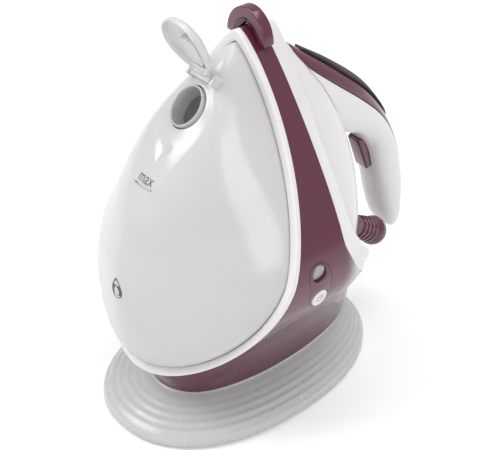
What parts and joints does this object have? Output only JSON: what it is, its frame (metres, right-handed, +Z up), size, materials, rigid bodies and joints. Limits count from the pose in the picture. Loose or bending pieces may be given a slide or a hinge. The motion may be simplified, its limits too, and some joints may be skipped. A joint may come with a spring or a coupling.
{
  "type": "steam generator iron station",
  "caption": "Upright egg-shaped steam station with a translucent front water tank, an open filler flap and a steam iron docked nose up on its back.",
  "frame": {"origin": "middle of the bounding box in plan, on the table under the rubber feet", "axes": "+Z up, -Y towards the water tank at the front, +Y towards the docked iron, +X towards the side with the power button"},
  "size_m": [0.187, 0.2802, 0.3133],
  "materials": {
    "clear_plastic": "milky translucent plastic",
    "white_plastic": "gloss moulded plastic",
    "burgundy_plastic": "dark red gloss moulded plastic",
    "grey_plastic": "smooth grey plastic",
    "dark_plastic": "fine textured dark plastic",
    "silicone": "soft matt silicone",
    "rubber": "matt rubber",
    "steel": "brushed steel",
    "brass": "plain brass",
    "board_green": "coated circuit board"
  },
  "bodies": {
    "station": {"foot_base": "clear_plastic", "foot_plate": "white_plastic", "rubber_foot_1": "rubber", "rubber_foot_2": "rubber", "rubber_foot_3": "rubber", "rubber_foot_4": "rubber", "body_shell": "burgundy_plastic", "front_rim": "white_plastic", "control_panel": "burgundy_plastic", "indicator_lens": "grey_plastic", "button_switch": "dark_plastic", "panel_board": "board_green", "water_tank": "clear_plastic", "tank_back": "white_plastic", "filler_neck": "clear_plastic", "flap_hinge_pin": "steel", "dock_frame": "white_plastic", "dock_panel": "white_plastic", "dock_pad_left": "silicone", "dock_pad_right": "silicone", "boiler": "steel", "boiler_heater": "brass", "boiler_thermostat": "grey_plastic", "pump": "dark_plastic", "circuit_board": "board_green", "inlet_tube": "silicone", "feed_tube": "silicone", "outlet_valve": "white_plastic"},
    "flap": {"filler_flap": "clear_plastic"},
    "clasp": {"lock_clasp": "burgundy_plastic"},
    "button": {"power_button": "white_plastic"},
    "iron": {"soleplate": "steel", "heat_shield": "dark_plastic", "iron_body": "white_plastic", "thermostat": "grey_plastic", "handle": "white_plastic", "handle_cover": "burgundy_plastic", "handle_grip": "dark_plastic", "steam_switch": "dark_plastic"},
    "dial": {"temperature_dial": "dark_plastic"},
    "trigger": {"steam_trigger": "burgundy_plastic"},
    "boot": {"hose_boot": "burgundy_plastic"}
  },
  "joints": [
    {"name": "flap_hinge", "type": "hinge", "parent": "station", "child": "flap", "pos_m": [0, -0.05617, 0.26526], "axis": [1, 0, 0], "range_deg": [0, 110]},
    {"name": "clasp_slide", "type": "slide", "parent": "station", "child": "clasp", "axis": [0, 1, 0], "range_m": [0, 0.01]},
    {"name": "button_press", "type": "slide", "parent": "station", "child": "button", "axis": [-0.9848, 0, 0.174], "range_m": [0, 0.0015], "stiffness_N_per_m": 600},
    {"name": "iron_lift_off", "type": "slide", "parent": "station", "child": "iron", "axis": [0, 1, 0], "range_m": [0, 0.12]},
    {"name": "dial_turn", "type": "hinge", "parent": "iron", "child": "dial", "pos_m": [0, 0.0723, 0.118], "axis": [0, 1, 0], "range_deg": [-120, 120]},
    {"name": "trigger_press", "type": "slide", "parent": "iron", "child": "trigger", "axis": [0, 0.9397, 0.342], "range_m": [0, 0.002], "stiffness_N_per_m": 500},
    {"name": "boot_swivel", "type": "hinge", "parent": "iron", "child": "boot", "pos_m": [0.02, 0.0704, 0.094], "axis": [0, 0.8211, -0.5708], "range_deg": [-40, 40]}
  ]
}
